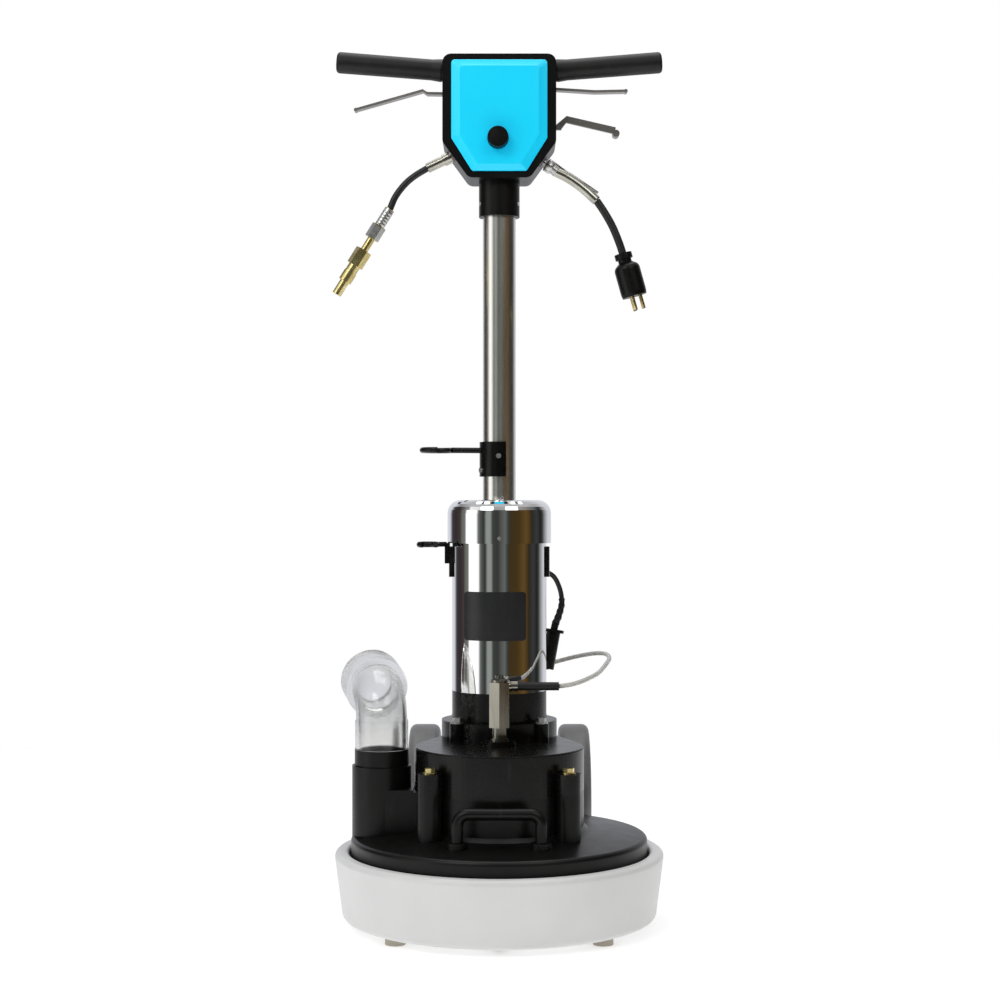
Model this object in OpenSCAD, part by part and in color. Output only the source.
// Rotary floor machine: upright motor, geared rotor head, tilting handle.
// Millimetres, +Z up, operator side at +Y, floor at z = 0.

/* [Rotor head] */
// Outer radius of the white rotor head at its rim
rotor_r = 214; // [210:1:216]
// Outer radius of the rotor head at its foot
rotor_foot_r = 205; // [200:1:208]
// Height of the rotor rim above the floor
rim_top = 95; // [93:1:97]
// Radius from the rotor axis to the glide feet
glide_ring_r = 182; // [178:1:184]

/* [Housing] */
// Outer radius of the vacuum housing
lid_r = 193; // [190:1:193]
// Radius of the round riser and the gearcase
case_r = 110.5; // [110:0.5:111]
// Distance from the rotor axis to the vacuum duct
duct_x = 153.6; // [152:0.1:155]
// Bore radius of the vacuum duct collar
collar_bore_r = 31.6; // [31:0.1:32]

/* [Motor] */
// Outer radius of the chromed motor shell
motor_r = 64; // [63:0.5:64]
// Outer radius of the chromed cap
motor_cap_r = 70.25; // [69:0.25:70.5]
// Height of the top of the chromed cap
motor_top = 550; // [545:1:560]

/* [Gear train] */
// Tooth module
gear_module = 3; // [3:1:3]
// Teeth on the rotor's gear
gear_teeth = 52; // [52:1:52]
// Teeth on the motor's pinion
pinion_teeth = 12; // [12:1:12]

/* [Handle] */
// Outer radius of the handle tube
tube_r = 23.3; // [22:0.1:23.5]
// Distance from the rotor axis back to the handle tube
tube_back = 205; // [204:1:206]
// Height of the tilt pin
tilt_z = 150; // [149:1:151]
// Height of the grips at the tips
grip_z = 1170; // [1168:0.5:1172]
// Distance from the centre to each grip tip
grip_x = 231; // [225:1:235]

/* [Wheels] */
// Radius of the transport wheels
wheel_r = 105; // [103:1:105]
// Distance from the rotor axis back to the axle
axle_back = 305; // [305:1:308]
// Distance from the centre to the middle of each tyre
wheel_x = 109; // [108:1:111]

/* [Hidden] */
$fn = 64;

// Places along Y, measured so that the machine is centred front to back
rotor_y = -(axle_back + wheel_r - rotor_r) / 2;
gear_centres = gear_module * (gear_teeth + pinion_teeth) / 2;
motor_y = rotor_y + gear_centres;
tube_y = rotor_y + tube_back;
axle_y = rotor_y + axle_back;

// Rotor head levels
glide_h = 9;
disc_top = 39;
hub_top = 66;
rim_inner_r = 195.4;

// Housing and gearcase levels
skirt_z = 78;
lid_edge_z = 114;
lid_z = 122;
seam_z = 180;
case_top = 229;
case_rear_r = 78;
boss_ring_r = 124;
boss_r = 15.5;
ear_top = 205;
wall = 6;
axle_z = 115;

// Clear elbow
elbow_r = 34.65;
elbow_bore_r = 28;
elbow_bend_z = 260;
elbow_bend_r = 42;
elbow_sweep = 78;

// Shafts
shaft_r = 17.5;
neck_r = 12.5;
stem_r = 6;
motor_shaft_r = 8;
running_gap = 0.05;
axle_r = 10;
pin_r = 10;
drum_r = 14;

// Motor levels
flange_top = 253;
bell_top = 292.5;
cap_z = 492;
bolt_at = 56;

// Handle levels
foot_top = 240;
collar_z = 950;
box_z = 1000;
box_top = 1173;
box_half_w = 79.5;
box_front_y = 66;
box_back_y = 142;
grip_tilt = 4.5;
bar_z = grip_z - grip_x * tan(grip_tilt);
tilt_lever_z = 1077;
tilt_pivot_x = 62;
lever_pivot_x = 68;
left_lever_z = 1125;
right_lever_z = 1131;

// Outlines of the control box and its cover, in X and Z
box_outline = [
  [-box_half_w, 1050], [-43, box_z], [43, box_z], [box_half_w, 1050],
  [box_half_w, box_top], [-box_half_w, box_top]
];
box_inner = [
  [-box_half_w + 3, 1051], [-41.5, box_z + 3], [41.5, box_z + 3], [box_half_w - 3, 1051],
  [box_half_w - 3, box_top - 3], [-box_half_w + 3, box_top - 3]
];
cover_outline = [
  [-67, 1055], [-38, 1009], [38, 1009], [67, 1055], [67, 1164], [-67, 1164]
];
cover_plateau = [
  [-55, 1058], [-30, 1018], [30, 1018], [55, 1058], [55, 1154], [-55, 1154]
];

// Cord and hose routes
lead_route = [
  [65, 53, 451], [77, 60, 442], [85, 63, 424], [87, 63, 406], [83, 61, 390], [78, 58, 378]
];
union_hose_route = [
  [78, -98, 306.5], [93, -92, 308], [108, -80, 311], [121, -65, 315], [132, -47, 319],
  [140, -30, 325], [146, -12, 330], [150, 6, 334], [149, 24, 337], [144, 40, 338],
  [133, 55, 337], [119, 66, 334], [104, 76, 330], [88, 86, 325], [72, 95, 320],
  [55, 102, 317], [38, 107, 315]
];
conduit_route = [
  [78, 107, 1016], [98, 107, 1006], [118, 107, 992], [138, 107, 974]
];
power_cord_route = [
  [138, 107, 974], [150, 107, 956], [161, 107, 936], [170, 107, 914], [175, 107, 899]
];
solution_hose_route = [
  [-102, 107, 1020], [-120, 107, 1009], [-134, 107, 997], [-147, 107, 980],
  [-155, 107, 962]
];

// Swept tube: rings of points around a route, closed at both ends
function unit(v) = v / norm(v);
function route_dir(p, i) = unit(p[min(i + 1, len(p) - 1)] - p[max(i - 1, 0)]);
function ring_points(c, d, r, n, side) =
  let (u = unit(cross(side, d)))
  let (v = cross(d, u))
  [for (k = [0:n - 1]) c + r * (cos(360 * k / n) * u + sin(360 * k / n) * v)];
function tube_points(p, r, n, side) =
  [for (i = [0:len(p) - 1]) each ring_points(p[i], route_dir(p, i), r, n, side)];
function tube_walls(rings, n) = [
  for (i = [0:rings - 2], k = [0:n - 1])
    [i * n + k, i * n + (k + 1) % n, (i + 1) * n + (k + 1) % n, (i + 1) * n + k]
];

module swept_tube(p, r, n, side = [0, 1, 0]) {
  last = (len(p) - 1) * n;
  ends = [[for (k = [n - 1:-1:0]) k], [for (k = [0:n - 1]) last + k]];
  polyhedron(tube_points(p, r, n, side), concat(tube_walls(len(p), n), ends));
}

// Rounded outline: each corner of a convex polygon becomes an arc of radius r
function corner_arc(a, b, c, r, n) =
  let (u = unit(a - b), v = unit(c - b))
  let (half = acos(u * v) / 2)
  let (centre = b + unit(u + v) * r / sin(half))
  let (start = b + u * r / tan(half) - centre, sweep = 180 - 2 * half)
  let (turn = u[0] * v[1] - u[1] * v[0] > 0 ? -1 : 1)
  [for (k = [0:n])
    let (t = turn * sweep * k / n)
    centre + [start[0] * cos(t) - start[1] * sin(t), start[0] * sin(t) + start[1] * cos(t)]];
function rounded(p, r, n = 5) =
  [for (i = [0:len(p) - 1])
    each corner_arc(p[(i + len(p) - 1) % len(p)], p[i], p[(i + 1) % len(p)], r, n)];
function arc(cx, cy, r, a0, a1, n = 6) =
  [for (k = [0:n]) let (a = a0 + (a1 - a0) * k / n) [cx + r * cos(a), cy + r * sin(a)]];

// Involute tooth outline, slightly thinned so that the mesh turns freely
function involute(t) = tan(t) * 180 / PI - t;
function half_tooth(r, pitch, base, teeth) =
  90 / teeth - 0.075 / pitch * 180 / PI + involute(20) - involute(acos(min(1, base / r)));
function tooth(teeth, root, tip, at) =
  let (pitch = gear_module * teeth / 2, base = pitch * cos(20), low = max(root, base))
  let (flank = [for (k = [0:3])
    let (r = low + (tip - low) * k / 3) [r, half_tooth(r, pitch, base, teeth)]])
  let (foot = [[root, flank[0][1]]])
  let (up = concat(foot, flank))
  concat(
    [for (q = up) q[0] * [cos(at - q[1]), sin(at - q[1])]],
    [for (k = [len(up) - 1:-1:0]) up[k][0] * [cos(at + up[k][1]), sin(at + up[k][1])]]
  );
module toothed_disc(teeth, root, tip, phase, h) {
  linear_extrude(h)
    polygon([for (k = [0:teeth - 1]) each tooth(teeth, root, tip, phase + 360 * k / teeth)]);
}

// Small shared shapes
module at_rotor(z = 0) {
  translate([0, rotor_y, z])
    children();
}
module at_motor(z = 0) {
  translate([0, motor_y, z])
    children();
}
module at_tube(z = 0) {
  translate([0, tube_y, z])
    children();
}
module ring(r_out, r_in, h) {
  difference() {
    cylinder(h = h, r = r_out);
    translate([0, 0, -1])
      cylinder(h = h + 2, r = r_in);
  }
}
module at_corners(reach, turn = 45) {
  for (a = [0:90:270])
    rotate(a + turn)
      translate([reach, 0, 0])
        children();
}
module along_x(x0, x1, r) {
  translate([x0, 0, 0])
    rotate([0, 90, 0])
      cylinder(h = x1 - x0, r = r);
}
module rod_between(a, b, r) {
  d = b - a;
  translate(a)
    rotate([0, acos(d[2] / norm(d)), atan2(d[1], d[0])])
      cylinder(h = norm(d), r = r);
}
// Turned piece of coaxial steps [start, end, radius] along a line, each set into the last
module turned(from, dir, steps) {
  for (q = steps)
    rod_between(from + (q[0] > 0 ? q[0] - 1 : q[0]) * dir, from + q[1] * dir, q[2]);
}
// Flat strip of even thickness along a line of points in the XZ plane
function strip_side(p, i, t) =
  let (d = unit(p[min(i + 1, len(p) - 1)] - p[max(i - 1, 0)]))
  p[i] + t / 2 * [-d[1], d[0]];
function strip(p, t) = concat(
  [for (i = [0:len(p) - 1]) strip_side(p, i, t)],
  [for (i = [len(p) - 1:-1:0]) strip_side(p, i, -t)]
);
module lever_plate(deep) {
  translate([0, tube_y + deep / 2, 0])
    rotate([90, 0, 0])
      linear_extrude(deep)
        children();
}
module front_plate(outline, y, deep) {
  translate([0, y + deep, 0])
    rotate([90, 0, 0])
      linear_extrude(deep)
        polygon(outline);
}

// Rotor
module rotor_head() {
  profile = concat(
    [[25, glide_h]],
    arc(rotor_foot_r - 8, glide_h + 8, 8, -90, 0),
    arc(rotor_r - 7, rim_top - 7, 7, 0, 90),
    arc(rim_inner_r + 5, rim_top - 5, 5, 90, 180),
    [[rim_inner_r, 52], [185, disc_top], [48, disc_top], [48, hub_top], [25, hub_top]]
  );
  color("white")
    at_rotor()
      difference() {
        rotate_extrude($fn = 128)
          polygon(profile);
        at_corners(65, 0)
          translate([0, -5, glide_h - 1])
            cube([112, 10, 50]);
        at_corners(118, 12)
          cylinder(h = disc_top + 5, r = 6);
      }
}
module rotor_shaft() {
  color("silver")
    at_rotor()
      difference() {
        union() {
          translate([0, 0, disc_top - 5])
            cylinder(h = hub_top - disc_top + 5, r = 25);
          translate([0, 0, hub_top])
            cylinder(h = 8, r = 44);
          translate([0, 0, hub_top + 8])
            cylinder(h = 212 - hub_top - 8, r = shaft_r);
          translate([0, 0, 212])
            cylinder(h = 16, r = neck_r);
          translate([0, 0, 228])
            cylinder(h = 34, r = stem_r);
        }
        translate([0, 0, 30])
          cylinder(h = 240, r = 3);
      }
}
module drive_gear() {
  color("slategray")
    at_rotor(192)
      difference() {
        toothed_disc(gear_teeth, 74.5, 80.2, 0, 14);
        translate([0, 0, -1])
          cylinder(h = 16, r = shaft_r);
        at_corners(46)
          translate([0, 0, -1])
            cylinder(h = 16, r = 14);
      }
}
module spray_jets() {
  color("goldenrod")
    at_rotor()
      at_corners(118, 12)
        difference() {
          union() {
            translate([0, 0, glide_h + 4])
              cylinder(h = disc_top - glide_h - 4, r = 6);
            translate([0, 0, disc_top])
              cylinder(h = 8, r = 8);
          }
          translate([0, 0, glide_h])
            cylinder(h = 50, r = 1.5);
        }
}
module vacuum_shoes() {
  color("silver")
    at_rotor()
      at_corners(65, 0)
        difference() {
          translate([0, -5, glide_h - 3])
            cube([112, 10, 24]);
          translate([2, -3, glide_h - 4])
            cube([108, 6, 40]);
        }
}
module glide_feet() {
  color("tan")
    at_rotor()
      at_corners(glide_ring_r)
        cylinder(h = glide_h, r = 12.8);
}

// Housing
module carry_feet(z) {
  for (x = [-52, 52])
    translate([x, rotor_y - 132, z])
      children();
}
module duct_place() {
  translate([-duct_x, rotor_y, 0])
    children();
}
module vacuum_housing() {
  shell = concat(
    [[lid_r, skirt_z]],
    arc(lid_r - 6, lid_edge_z - 6, 6, 0, 80),
    [[130, lid_z - 1], [case_r + 6, lid_z], [case_r, lid_z + 5], [case_r, seam_z - wall],
     [case_r - wall, seam_z - wall], [case_r - wall, lid_z - wall], [130, lid_z - wall - 1],
     [lid_r - wall - 3, lid_edge_z - wall], [lid_r - wall, lid_edge_z - wall - 4],
     [lid_r - wall, skirt_z]]
  );
  color([0.05, 0.05, 0.055])
    difference() {
      union() {
        at_rotor()
          rotate_extrude($fn = 128)
            polygon(shell);
        difference() {
          at_rotor()
            at_corners(boss_ring_r) {
              translate([0, 0, lid_z - 8])
                cylinder(h = seam_z - lid_z + 8, r = boss_r);
              translate([-20, -8, lid_z - 8])
                cube([20, 16, seam_z - wall - lid_z]);
            }
          translate([0, 0, seam_z - wall - 0.2])
            linear_extrude(10)
              case_outline(-0.3);
        }
        duct_place()
          translate([0, 0, lid_edge_z - 4])
            cylinder(h = 204 - lid_edge_z + 4, r = 38.6);
        duct_place()
          translate([0, 0, 204])
            cylinder(h = 21, r = 35.3);
        duct_place()
          translate([0, -38, lid_edge_z - 4])
            cube([52, 76, seam_z - wall - lid_edge_z + 3.5]);
        duct_place()
          translate([0, -38, seam_z - wall - 2])
            cube([42.5, 76, 4]);
        carry_feet(110)
          cylinder(h = lid_z - 110, r = 14);
      }
      duct_place()
        translate([0, 0, 60])
          cylinder(h = 200, r = collar_bore_r);
      duct_place()
        translate([0, -32, 100])
          cube([41, 64, 68]);
      at_rotor()
        at_corners(boss_ring_r)
          translate([0, 0, 135])
            cylinder(h = 60, r = 4);
      carry_feet(90)
        cylinder(h = 60, r = 3);
    }
}
// Outline shared by the gearcase and the plate that closes it
module case_outline(inset) {
  big = case_r - inset;
  small = case_rear_r - inset;
  lean = asin((big - small) / gear_centres);
  polygon(concat(
    arc(0, rotor_y, big, 180 - lean, 360 + lean, 60),
    arc(0, motor_y, small, lean, 180 - lean, 36)
  ));
}
module case_ears(z, h) {
  at_rotor(z)
    at_corners(boss_ring_r) {
      cylinder(h = h, r = boss_r);
      translate([-22, -9, 0])
        cube([22, 18, h]);
    }
}
module ear_holes() {
  at_rotor(100)
    at_corners(boss_ring_r)
      cylinder(h = 150, r = 4);
}
module gear_plate() {
  seam_turn = 17;
  color("dimgray")
    difference() {
      union() {
        translate([0, 0, seam_z - wall])
          linear_extrude(wall)
            case_outline(0);
        at_rotor(158)
          cylinder(h = 20, r = 37);
      }
      at_rotor(150)
        rotate(seam_turn)
          cylinder(h = 40, r = 31);
    }
}
module gearcase() {
  color([0.05, 0.05, 0.055])
    difference() {
      union() {
        translate([0, 0, seam_z])
          linear_extrude(case_top - seam_z - 2)
            case_outline(0);
        translate([0, 0, case_top - 2])
          linear_extrude(2)
            case_outline(1.5);
        case_ears(seam_z, ear_top - seam_z);
      }
      difference() {
        translate([0, 0, seam_z - 1])
          linear_extrude(case_top - 8 - seam_z + 1)
            case_outline(8);
        at_rotor(213)
          cylinder(h = 20, r = 29);
      }
      at_rotor(200)
        cylinder(h = 40, r = 23);
      at_motor(200)
        cylinder(h = 40, r = 24);
      at_motor(200)
        for (x = [-bolt_at, bolt_at], y = [-bolt_at, bolt_at])
          translate([x, y, 0])
            cylinder(h = 40, r = 4);
      ear_holes();
    }
}
module housing_bolts() {
  color("goldenrod")
    at_rotor()
      at_corners(boss_ring_r) {
        translate([0, 0, 140])
          cylinder(h = ear_top - 140, r = 4);
        translate([0, 0, ear_top])
          cylinder(h = 1.5, r = 9);
        translate([0, 0, ear_top + 1.5])
          cylinder(h = 5.5, r = 7.2, $fn = 6);
      }
}
module bearings() {
  color("silver") {
    at_rotor(158)
      ring(31, shaft_r + running_gap, 18);
    at_rotor(213)
      ring(23, neck_r + running_gap, 16);
    at_motor(230)
      ring(17, motor_shaft_r + running_gap, 12);
    at_motor(496)
      ring(17, motor_shaft_r + running_gap, 12);
  }
}
module seal_cap() {
  color("dimgray")
    at_rotor(case_top)
      difference() {
        union() {
          cylinder(h = 5, r = 23.5);
          translate([0, 0, 5])
            cylinder(h = 2, r = 21.5);
        }
        translate([0, 0, -1])
          cylinder(h = 10, r = stem_r + 1);
      }
}
module rotary_union() {
  color("silver")
    at_rotor()
      difference() {
        union() {
          translate([0, 0, 236])
            cylinder(h = 3, r = 13);
          translate([0, 0, 239])
            cylinder(h = 14, r = 10);
          translate([0, 0, 253])
            rotate(30)
              cylinder(h = 59, r = 15.01, $fn = 6);
          translate([0, 0, 312])
            cylinder(h = 3, r = 11.5);
          translate([0, 0, 306.5])
            along_x(8, 24, 6.5);
          translate([12, 0, 306.5])
            sphere(r = 7.5);
        }
        translate([0, 0, 230])
          cylinder(h = 36, r = stem_r + running_gap);
      }
}
module hose_sleeve() {
  color([0.03, 0.03, 0.03])
    translate([0, rotor_y, 306.5])
      along_x(24, 78, 5.45);
}
module union_hose() {
  color("whitesmoke")
    swept_tube(union_hose_route, 3, 8, [0, 0, 1]);
}

// Motor
module motor_flange() {
  color([0.05, 0.05, 0.055])
    at_motor()
      difference() {
        union() {
          translate([0, 0, case_top])
            cylinder(h = flange_top - case_top, r = 78);
          translate([0, 0, 221])
            cylinder(h = 8, r = 23.8);
          for (x = [-bolt_at, bolt_at], y = [-bolt_at, bolt_at])
            translate([x, y, case_top])
              cylinder(h = flange_top - case_top, r = 10);
        }
        translate([0, -gear_centres, case_top - 1])
          cylinder(h = 9, r = 25);
        translate([0, 0, 200])
          cylinder(h = 30, r = 18);
        translate([0, 0, 230])
          cylinder(h = 12, r = 17);
        translate([0, 0, 200])
          cylinder(h = 80, r = 12);
        for (x = [-bolt_at, bolt_at], y = [-bolt_at, bolt_at])
          translate([x, y, 200])
            cylinder(h = 80, r = 4);
      }
}
module machine_screws() {
  color("silver") {
    at_motor()
      for (x = [-bolt_at, bolt_at], y = [-bolt_at, bolt_at])
        translate([x, y, 0]) {
          translate([0, 0, 222])
            cylinder(h = flange_top - 222, r = 4);
          translate([0, 0, flange_top])
            cylinder(h = 1.6, r = 8.5);
          translate([0, 0, flange_top + 1.6])
            cylinder(h = 6, r = 7.2, $fn = 6);
        }
    translate([0, motor_y - motor_cap_r - 1.6, cap_z + 7])
      rotate([-90, 0, 0])
        cylinder(h = 5.6, r = 2.6);
    carry_feet(106) {
      cylinder(h = 22, r = 3);
      cylinder(h = 4, r = 5.5);
    }
  }
}
module motor_end_bell() {
  color([0.05, 0.05, 0.055])
    at_motor(flange_top)
      difference() {
        cylinder(h = bell_top - flange_top, r = motor_r);
        translate([0, 0, 6])
          cylinder(h = 50, r = motor_r - 6);
        translate([0, 0, -1])
          cylinder(h = 10, r = 12);
      }
}
module motor_shell() {
  color([0.85, 0.86, 0.88])
    at_motor(bell_top)
      ring(motor_r, motor_r - 3, cap_z - bell_top);
}
module motor_cap() {
  inner = motor_cap_r - 4;
  profile = concat(
    [[motor_r - 3, cap_z], [motor_cap_r, cap_z]],
    arc(motor_cap_r - 18, motor_top - 18, 18, 0, 90),
    [[0, motor_top], [0, motor_top - 4]],
    arc(inner - 14, motor_top - 18, 14, 90, 0),
    [[inner, 508], [17, 508], [17, 496], [motor_r - 3, 496]]
  );
  color([0.85, 0.86, 0.88])
    at_motor()
      rotate_extrude($fn = 96)
        polygon(profile);
}
module magnets() {
  color("dimgray")
    at_motor(318)
      for (a = [25, 205])
        rotate(a)
          rotate_extrude(angle = 130)
            translate([49, 0])
              square([12, 130]);
}
module motor_band() {
  color([0.04, 0.04, 0.04])
    at_motor(446) {
      rotate(-8)
        rotate_extrude(angle = 196, $fn = 96)
          translate([motor_r, 0])
            square([3, 41]);
      for (a = [-8, 188])
        rotate(a)
          translate([motor_r, -3, 0])
            cube([4.5, 6, 41]);
      rotate(41)
        translate([motor_r + 2, 0, 5])
          along_x(0, 18.9, 5.5);
    }
}
module lower_hose_hook() {
  color([0.04, 0.04, 0.04])
    translate([-70, motor_y, 490]) {
      translate([-4, -7, -26])
        cube([7, 14, 27.7]);
      rod_between([-2.5, -1.6, 0], [-17, -11, 0], 3.4);
      translate([-26, -20, 0])
        rotate(-30)
          rotate_extrude(angle = 260)
            translate([11.5, 0])
              circle(r = 4, $fn = 24);
    }
}
module motor_lead() {
  color([0.03, 0.03, 0.03])
    swept_tube(lead_route, 3.4, 8);
}
module motor_connector() {
  top = [76, 56, 370];
  low = [66, 50, 316];
  color([0.03, 0.03, 0.03]) {
    rod_between(top, [78, 58, 378], 5);
    rod_between([75.4, 55.6, 366], top, 14);
    rod_between(low, [75.4, 55.6, 366], 9.5);
    translate([0, motor_y, 322])
      rotate(38)
        translate([motor_r, -9, -6])
          cube([16, 18, 12]);
  }
}

// Chassis
module arm_outline() {
  polygon([
    [20, 124], [90, 124], [112, 102], [185, 98], [214, 98], [224, 108], [222, 124],
    [205, 136], [150, 172], [90, 174], [20, 174]
  ]);
}
module rear_frame() {
  color([0.06, 0.06, 0.065])
    difference() {
      union() {
        for (x = [-64, 56])
          translate([x, 0, 0])
            rotate([90, 0, 90])
              linear_extrude(8)
                arm_outline();
        translate([-56, 22, 124])
          cube([112, 8, 50]);
        translate([-56, 22, 166])
          cube([112, 48, 8]);
        translate([0, 178, 124])
          along_x(-56, 56, 9);
        for (x = [-85.5, 64])
          translate([x, axle_y, axle_z])
            along_x(0, 21.5, 16);
        for (x = [-56, 32])
          translate([x, tube_y, tilt_z])
            along_x(0, 24, 14);
      }
      translate([0, axle_y, axle_z])
        along_x(-100, 100, axle_r);
      translate([0, tube_y, tilt_z])
        along_x(-100, 100, pin_r);
    }
}
module axle() {
  color("silver")
    translate([0, axle_y, axle_z]) {
      along_x(-126, 126, axle_r);
      for (x = [-131, 125.6])
        along_x(x, x + 5.4, 13);
    }
}
module tilt_pin() {
  color("silver")
    translate([0, tube_y, tilt_z]) {
      along_x(-68, 68, pin_r);
      for (x = [-72, 68])
        along_x(x, x + 4, 14);
      along_x(-9, 9, drum_r);
    }
}
module carry_handle() {
  bend = 14;
  bar_r = 7.5;
  bar = 161;
  color([0.04, 0.04, 0.04])
    difference() {
      translate([0, rotor_y - 132, 0]) {
        for (s = [-1, 1]) {
          translate([s * 52, 0, lid_z])
            cylinder(h = 4, r = 13);
          translate([s * 52, 0, lid_z + 3])
            cylinder(h = bar - bend - lid_z - 3, r = bar_r);
          translate([s * (52 - bend), 0, bar - bend])
            rotate([90, 0, 0])
              rotate(s > 0 ? 0 : 90)
                rotate_extrude(angle = 90)
                  translate([bend, 0])
                    circle(r = bar_r, $fn = 32);
        }
        translate([0, 0, bar])
          along_x(-52 + bend, 52 - bend, bar_r);
      }
      carry_feet(100)
        cylinder(h = 28, r = 3);
    }
}

// Armature
module armature_core() {
  color([0.6, 0.35, 0.15])
    at_motor()
      difference() {
        union() {
          translate([0, 0, 318])
            cylinder(h = 130, r = 40);
          translate([0, 0, 335])
            cylinder(h = 96, r = 48);
          translate([0, 0, 448])
            cylinder(h = 8, r = 15);
          translate([0, 0, 456])
            cylinder(h = 26, r = 22);
        }
        translate([0, 0, 300])
          cylinder(h = 200, r = motor_shaft_r);
      }
}
module pinion_shaft() {
  color("slategray")
    at_motor() {
      translate([0, 0, 190])
        toothed_disc(pinion_teeth, 15.3, 21, 15, 18);
      translate([0, 0, 208])
        cylinder(h = 9, r = 12);
      translate([0, 0, 217])
        cylinder(h = 293, r = motor_shaft_r);
    }
}

// Wheels
module tyre(x) {
  half = 22;
  in_r = 62;
  profile = concat(
    [[in_r, -half], [wheel_r - 10, -half]],
    arc(wheel_r - 10, -half + 10, 10, -90, 0),
    arc(wheel_r - 10, half - 10, 10, 0, 90),
    [[in_r, half]]
  );
  color([0.2, 0.2, 0.21])
    translate([x, axle_y, axle_z])
      rotate([0, 90, 0])
        rotate_extrude($fn = 96)
          polygon(profile);
}
module hub(x) {
  color([0.3, 0.3, 0.31])
    translate([x, axle_y, axle_z])
      rotate([0, 90, 0])
        difference() {
          union() {
            ring(62, 52, 36);
            ring(54, 18, 8);
            cylinder(h = 34, r = 20);
          }
          translate([0, 0, -1])
            cylinder(h = 60, r = axle_r + running_gap);
          at_corners(36)
            translate([0, 0, -1])
              cylinder(h = 20, r = 9);
        }
}
module left_tyre() {
  tyre(-wheel_x);
}
module right_tyre() {
  tyre(wheel_x);
}
module left_hub() {
  mirror([1, 0, 0])
    hub(wheel_x - 18);
}
module right_hub() {
  hub(wheel_x - 18);
}

// Clear outlet elbow, mouth turned back and a little up
module elbow_mouth() {
  translate([0, 0, elbow_bend_z])
    rotate(105)
      translate([elbow_bend_r, 0, 0])
        rotate([0, elbow_sweep, 0])
          translate([-elbow_bend_r, 0, 0])
            children();
}
module elbow_turn() {
  translate([0, 0, elbow_bend_z])
    rotate(105)
      translate([elbow_bend_r, 0, 0])
        rotate([90, 0, 0])
          rotate(180 - elbow_sweep)
            rotate_extrude(angle = elbow_sweep)
              translate([elbow_bend_r, 0])
                difference() {
                  circle(r = elbow_r - 1.4);
                  circle(r = elbow_bore_r + 0.6);
                }
}
module vacuum_elbow() {
  color([0.85, 0.9, 0.92, 0.35])
    duct_place() {
      difference() {
        union() {
          translate([0, 0, 206])
            cylinder(h = 24, r = collar_bore_r - 0.08);
          translate([0, 0, 225.3])
            cylinder(h = elbow_bend_z - 223, r = elbow_r);
        }
        translate([0, 0, 200])
          cylinder(h = 100, r = elbow_bore_r);
      }
      elbow_turn();
      elbow_mouth()
        translate([0, 0, -2])
          ring(41, 30.2, 42);
    }
}

// Handle
module handle_foot() {
  color([0.06, 0.06, 0.065])
    at_tube()
      difference() {
        union() {
          translate([0, 0, 186])
            cylinder(h = foot_top - 186, r = 27.5);
          translate([-29, -20, tilt_z + 24])
            cube([58, 40, 14]);
          for (x = [-29, 17])
            translate([x, 0, tilt_z]) {
              along_x(0, 12, 20);
              translate([0, -20, 0])
                cube([12, 40, 26]);
            }
        }
        translate([0, 0, 194])
          cylinder(h = 60, r = tube_r);
        translate([0, 0, tilt_z])
          along_x(-40, 40, pin_r + running_gap);
        translate([-8, -19.2, 160])
          cube([16, 38.4, 60]);
      }
}
module handle_tube() {
  color([0.85, 0.86, 0.88])
    at_tube(194)
      ring(tube_r, tube_r - 2, 1054 - 194);
}
module tube_collar() {
  color([0.05, 0.05, 0.055])
    at_tube(collar_z)
      difference() {
        union() {
          cylinder(h = box_z - collar_z, r = 28.8);
        }
        translate([0, 0, -1])
          cylinder(h = 60, r = tube_r);
        for (a = [200, 340])
          rotate(a)
            translate([0, 0, 18])
              along_x(22, 30, 3);
      }
}
module handle_screws() {
  color("silver")
    at_tube() {
      for (a = [200, 340])
        rotate(a)
          translate([0, 0, collar_z + 18])
            along_x(tube_r, 29.4, 3);
      for (s = [[268, 612], [205, 592]])
        rotate(s[0])
          translate([0, 0, s[1]])
            along_x(28, 30.5, 3.6);
      for (a = [60, 180, 300])
        rotate(a)
          translate([0, 0, 225])
            along_x(27.5, 31, 4);
    }
}
module grip_axis(s) {
  translate([0, tube_y, bar_z])
    rotate([0, s > 0 ? 90 - grip_tilt : -90 + grip_tilt, 0])
      children();
}
module control_box() {
  deep = box_back_y - box_front_y;
  color([0.05, 0.05, 0.055])
    difference() {
      union() {
        difference() {
          front_plate(rounded(box_outline, 12), box_front_y, deep);
          front_plate(rounded(box_inner, 10), box_front_y + 3, deep - 6);
        }
        at_tube(box_z)
          cylinder(h = 34, r = 28);
        for (s = [-1, 1])
          grip_axis(s)
            translate([0, 0, 58])
              cylinder(h = 22, r = 14.9);
      }
      front_plate(rounded(cover_plateau, 6), box_front_y - 1, 6);
      at_tube(box_z - 1)
        cylinder(h = 60, r = tube_r);
      for (s = [-1, 1])
        grip_axis(s)
          cylinder(h = 120, r = 11);
      translate([60, tube_y - 8, 1066])
        cube([30, 16, 36]);
      translate([60, tube_y - 10, 1121])
        cube([30, 20, 18]);
      translate([-90, tube_y - 10, 1115])
        cube([30, 20, 22]);
      rod_between([40, tube_y, 1047.5], [100, tube_y, 1002.5], 6.5);
      rod_between([-40, tube_y, 1049.2], [-100, tube_y, 1020.9], 6.5);
    }
}
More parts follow.
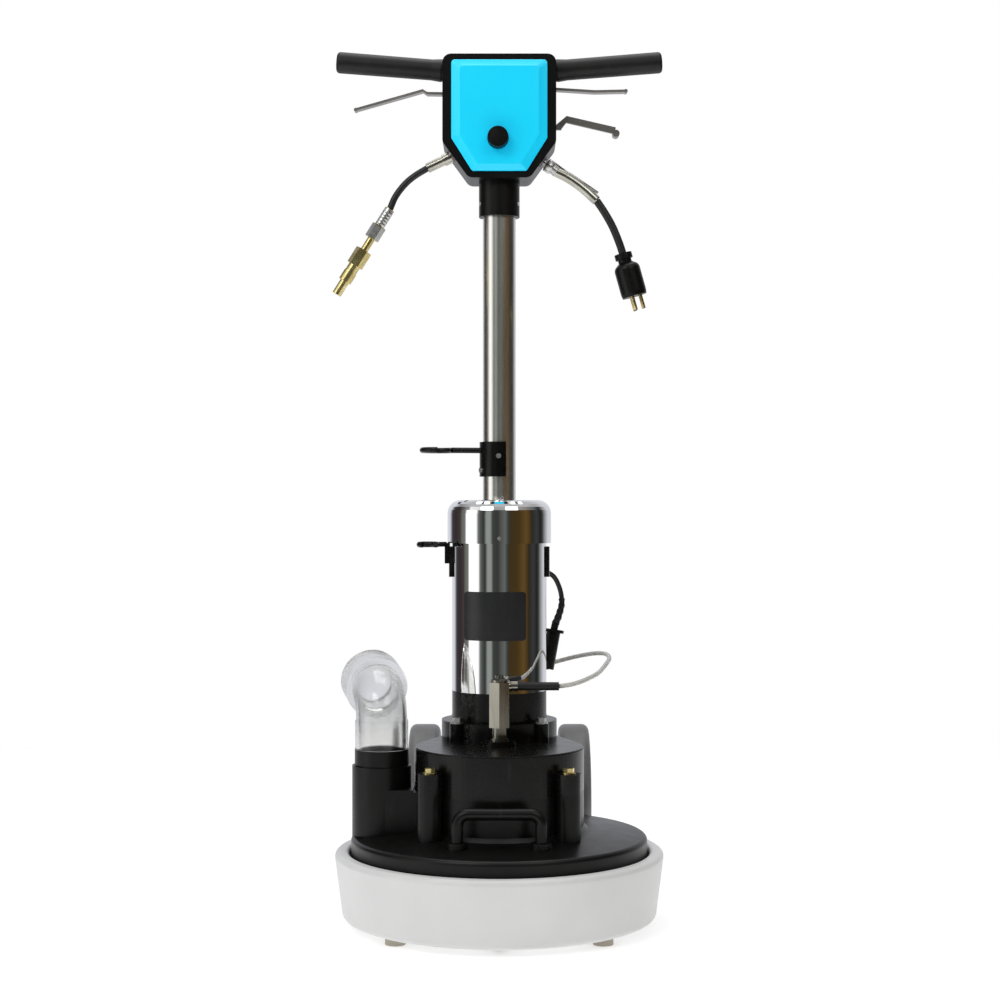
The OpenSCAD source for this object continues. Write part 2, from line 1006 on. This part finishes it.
module front_cover() {
  color([0.05, 0.68, 1])
    difference() {
      union() {
        front_plate(rounded(cover_outline, 5), box_front_y - 4, 4);
        front_plate(rounded(cover_plateau, 5), box_front_y - 9, 5);
        front_plate(rounded(cover_plateau, 8), box_front_y, 3);
      }
      translate([-1.8, box_front_y - 20, 1053])
        rotate([-90, 0, 0])
          cylinder(h = 40, r = 5);
    }
}
module handlebar() {
  color("silver")
    for (s = [-1, 1])
      grip_axis(s)
        cylinder(h = 222, r = 11);
}
module grip(s) {
  tip = (grip_x - 0.9) / cos(grip_tilt);
  profile = concat(
    [[11, 80.4], [15.4, 80.4], [15.9, 83], [15.2, 90], [14.6, 96]],
    arc(14.9 - 5, tip - 5, 5, 0, 90),
    [[0, tip], [0, 222], [11, 222]]
  );
  color([0.04, 0.04, 0.04])
    grip_axis(s)
      rotate_extrude($fn = 64)
        polygon(profile);
}
module left_grip() {
  grip(-1);
}
module right_grip() {
  grip(1);
}
module upper_hose_hook() {
  color([0.04, 0.04, 0.04])
    at_tube() {
      translate([0, 0, 583])
        rotate(150)
          rotate_extrude(angle = 140, $fn = 96)
            translate([tube_r, 0])
              square([4.7, 49]);
      translate([0, 0, 620]) {
        rod_between([-25, -7, 0], [-66, -16, 0], 4);
        translate([-86, -22, 0])
          rotate(15)
            rotate_extrude(angle = 255)
              translate([22, 0])
                circle(r = 4, $fn = 24);
      }
    }
}
module hose_nipple() {
  color("goldenrod")
    translate([0, tube_y, 315]) {
      along_x(tube_r, 29, 7);
      along_x(28, 36.7, 4.5);
    }
}
module control_board() {
  color("darkgreen") {
    difference() {
      translate([-48, 74, 1060])
        cube([96, 2, 78]);
      translate([-48, 70, 1060])
        cube([20, 10, 10]);
    }
    difference() {
      translate([-1.8, 70, 1053])
        rotate([-90, 0, 0])
          cylinder(h = 11, r = 11);
      translate([-1.8, 60, 1053])
        rotate([-90, 0, 0])
          cylinder(h = 16, r = 3 + running_gap);
    }
    translate([30, 75, 1092])
      cube([20, 40, 24]);
    translate([38, tube_y - 3, 1115])
      cube([6, 6, 5]);
  }
}
module solution_valve() {
  color("goldenrod")
    at_tube() {
      translate([-56, -9, 1078])
        cube([22, 18, 24]);
      translate([-45, 0, 1102])
        cylinder(h = 10, r = 4);
      translate([-45, 0, 1060])
        cylinder(h = 18, r = 7);
    }
}
module strain_relief() {
  gland = [62, tube_y, 1029];
  d = unit([138, tube_y, 974] - gland);
  color([0.85, 0.86, 0.88]) {
    turned(gland, d, [[-4, 6, 6.5], [6, 16, 10], [16, 24, 7.6]]);
    for (i = [0:len(conduit_route) - 2])
      rod_between(conduit_route[i], conduit_route[i + 1], 6.9);
    for (i = [1:len(conduit_route) - 2])
      translate(conduit_route[i])
        sphere(r = 6.95);
    rod_between([74, tube_y, 1030], [140, tube_y, 985], 1.8);
  }
}
module power_cord() {
  color([0.03, 0.03, 0.03])
    swept_tube(power_cord_route, 5.5, 10);
}
module power_plug() {
  a = [175, tube_y, 899];
  d = unit([19, 0, -68]);
  b = a + 62.5 * d;
  across = cross(d, [0, 1, 0]);
  profile = concat(
    [[0, 0], [12.5, 0], [12.5, 8], [9.5, 9], [9.5, 13]],
    arc(9.3, 24, 9, -60, 0),
    [[18.3, 57], [17.4, 62.5], [0, 62.5]]
  );
  color([0.03, 0.03, 0.03])
    translate(a)
      rotate([0, acos(d[2]), 0])
        rotate_extrude()
          polygon(profile);
  color("goldenrod")
    for (t = [0:120:240])
      translate(8 * (cos(t) * across + sin(t) * [0, 1, 0]))
        rod_between(b - d, b + 20 * d, 2.6);
}
module hose_fitting() {
  a = [-68, tube_y, 1036];
  b = [-102, tube_y, 1020];
  color("silver")
    turned(a, unit(b - a), [[-10, 2, 6.5], [2, 12, 8.5], [12, norm(b - a), 7]]);
}
module solution_hose() {
  color([0.03, 0.03, 0.03])
    swept_tube(solution_hose_route, 4.75, 10);
}
module hose_coupler() {
  a = [-155, tube_y, 962];
  tip = [-230.6, tube_y, 841.6];
  d = unit(tip - a);
  color("silver") {
    turned(a, d, [[0, 29, 7]]);
    turned(a, d, [[29, 49, 10.4]], $fn = 6);
  }
  color("goldenrod") {
    turned(a, d, [[49, 70, 5.4], [93.5, 106, 8.5], [106, 120.5, 9.4]]);
    turned(a, d, [[70, 94, 12]], $fn = 6);
    turned(a, d, [[120.5, norm(tip - a), 6.7]]);
  }
}

// Controls
module speed_knob() {
  color([0.04, 0.04, 0.04])
    translate([-1.8, 40, 1053])
      rotate([-90, 0, 0]) {
        cylinder(h = 14, r = 14);
        translate([0, 0, 14])
          cylinder(h = 2.4, r = 15);
        cylinder(h = 35, r = 3);
      }
}
module round_bead(at, deep, r) {
  translate([at[0], tube_y + deep / 2, at[1]])
    rotate([90, 0, 0])
      cylinder(h = deep, r = r);
}
module squeeze_lever(blade, pivot) {
  difference() {
    union() {
      lever_plate(14)
        polygon(strip(blade, 3.6));
      round_bead(pivot, 10, 5);
      round_bead(blade[len(blade) - 1], 13, 2.6);
    }
    round_bead(pivot, 20, 2.5);
  }
}
module solution_lever() {
  blade = [[-38, left_lever_z - 1], [-102, left_lever_z], [-108, left_lever_z + 4], [-203, 1102]];
  color("silver")
    squeeze_lever(blade, [-lever_pivot_x, left_lever_z - 0.5]);
}
module switch_lever() {
  blade = [[38, right_lever_z], [80, right_lever_z], [135, 1127.5], [179, 1128.5]];
  color("silver")
    squeeze_lever(blade, [lever_pivot_x, right_lever_z]);
}
module tilt_lever() {
  blade = [[84, 1078], [95, 1089], [164, 1073]];
  color("silver") {
    lever_plate(5)
      difference() {
        union() {
          polygon(strip([[9, tilt_lever_z], [88, tilt_lever_z]], 6));
          polygon(strip(blade, 9.5));
          translate([tilt_pivot_x, tilt_lever_z])
            circle(r = 6);
        }
        translate([tilt_pivot_x, tilt_lever_z])
          circle(r = 2.5);
      }
    lever_plate(18)
      translate([165, 1068])
        circle(r = 5);
    translate([0, tube_y, tilt_lever_z - 2])
      ring(11, 5.4, 4);
  }
}
module brake_rod() {
  color("silver")
    at_tube()
      difference() {
        union() {
          translate([0, 0, 204])
            cylinder(h = 890, r = 4);
          for (z = [tilt_lever_z - 8, tilt_lever_z + 4])
            translate([0, 0, z])
              cylinder(h = 4, r = 9);
          translate([-6, -18.5, 200])
            cube([12, 37, 6]);
          for (y = [-18.5, 15])
            translate([-6, y, 127])
              cube([12, 3.5, 76]);
          translate([-6, -18.5, 123])
            cube([12, 37, 14]);
        }
        translate([0, 0, tilt_z])
          along_x(-30, 30, drum_r + 0.4);
      }
}

rotor_head();
rotor_shaft();
drive_gear();
spray_jets();
vacuum_shoes();
glide_feet();
vacuum_housing();
gear_plate();
gearcase();
housing_bolts();
bearings();
seal_cap();
rotary_union();
hose_sleeve();
union_hose();
motor_flange();
machine_screws();
motor_end_bell();
motor_shell();
motor_cap();
magnets();
motor_band();
lower_hose_hook();
motor_lead();
motor_connector();
rear_frame();
axle();
tilt_pin();
carry_handle();
armature_core();
pinion_shaft();
left_tyre();
left_hub();
right_tyre();
right_hub();
vacuum_elbow();
handle_foot();
handle_tube();
tube_collar();
handle_screws();
control_box();
front_cover();
handlebar();
left_grip();
right_grip();
upper_hose_hook();
hose_nipple();
control_board();
solution_valve();
strain_relief();
power_cord();
power_plug();
hose_fitting();
solution_hose();
hose_coupler();
speed_knob();
solution_lever();
switch_lever();
tilt_lever();
brake_rod();
